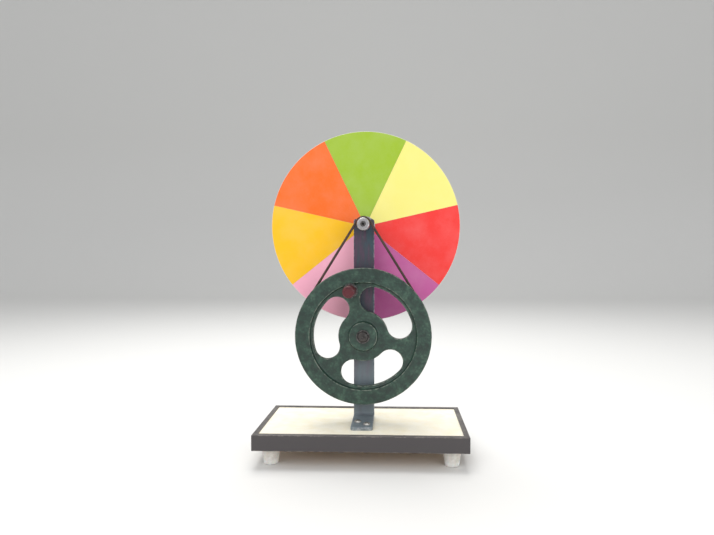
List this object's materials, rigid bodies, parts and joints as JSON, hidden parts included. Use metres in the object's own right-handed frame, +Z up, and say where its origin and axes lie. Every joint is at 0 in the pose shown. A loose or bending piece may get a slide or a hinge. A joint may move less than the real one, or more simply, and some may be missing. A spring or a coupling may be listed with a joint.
{
  "type": "newton colour disc with crank",
  "caption": "Newton colour disc on a footed board: a hand crank on a spoked wheel drives the sector disc through a round belt.",
  "frame": {"origin": "middle of the base's footprint, on the surface that the feet stand on", "axes": "+Z up; -Y the front, where the crank is; +X to the right of someone who faces the front; wheel, spindle and grip axes along Y"},
  "size_m": [0.2, 0.1, 0.327],
  "materials": {
    "plywood": "planed plywood",
    "cream_laminate": "satin decorative laminate",
    "dark_edging": "fine-textured edging",
    "foot_rubber": "matt rubber",
    "zinc_steel": "zinc plated",
    "upright_paint": "hammer-finish enamel",
    "brass": "turned",
    "axle_steel": "turned bright steel",
    "belt_rubber": "smooth round belt",
    "wheel_paint": "hammer-finish enamel",
    "grip_plastic": "polished",
    "pulley_aluminium": "turned",
    "disc_board": "white painted board",
    "paper_green": "satin printed sheet",
    "paper_yellow": "satin printed sheet",
    "paper_red": "satin printed sheet",
    "paper_purple": "satin printed sheet",
    "paper_pink": "satin printed sheet",
    "paper_amber": "satin printed sheet",
    "paper_orange": "satin printed sheet"
  },
  "bodies": {
    "stand": {"base_board": "plywood", "top_laminate": "cream_laminate", "edge_trim_front": "dark_edging", "edge_trim_back": "dark_edging", "edge_trim_left": "dark_edging", "edge_trim_right": "dark_edging", "rubber_foot_front_left": "foot_rubber", "rubber_foot_front_right": "foot_rubber", "rubber_foot_rear_left": "foot_rubber", "rubber_foot_rear_right": "foot_rubber", "foot_screws": "zinc_steel", "upright_strap": "upright_paint", "upright_screws": "zinc_steel", "spindle_bearing": "brass", "bearing_nut": "zinc_steel", "wheel_axle": "axle_steel", "axle_washer_front": "zinc_steel", "axle_spacer": "axle_steel", "axle_washer_rear": "zinc_steel", "axle_nut": "zinc_steel", "drive_belt": "belt_rubber"},
    "wheel": {"drive_wheel": "wheel_paint", "wheel_bush": "brass", "crank_pin": "axle_steel", "crank_washer": "zinc_steel", "crank_nut": "zinc_steel"},
    "grip": {"crank_grip": "grip_plastic"},
    "spindle": {"disc_spindle": "axle_steel", "spindle_pulley": "pulley_aluminium", "pulley_set_screw": "zinc_steel", "thrust_washers": "brass", "disc_hub": "pulley_aluminium", "hub_set_screw": "zinc_steel", "disc_plate": "disc_board", "disc_washer": "zinc_steel", "disc_nut": "zinc_steel", "sector_green": "paper_green", "sector_yellow": "paper_yellow", "sector_red": "paper_red", "sector_purple": "paper_purple", "sector_pink": "paper_pink", "sector_amber": "paper_amber", "sector_orange": "paper_orange"}
  },
  "joints": [
    {"name": "wheel_spin", "type": "hinge", "parent": "stand", "child": "wheel", "pos_m": [0, 0.001, 0.1155], "axis": [0, 1, 0], "continuous": true},
    {"name": "disc_spin", "type": "hinge", "parent": "stand", "child": "spindle", "pos_m": [0, 0.001, 0.227], "axis": [0, 1, 0], "continuous": true},
    {"name": "grip_spin", "type": "hinge", "parent": "wheel", "child": "grip", "pos_m": [-0.01256, -0.0065, 0.16077], "axis": [0, 1, 0], "continuous": true}
  ],
  "couplings": [
    {"joint": "disc_spin", "follows": "wheel_spin", "ratio": 9.4214}
  ]
}
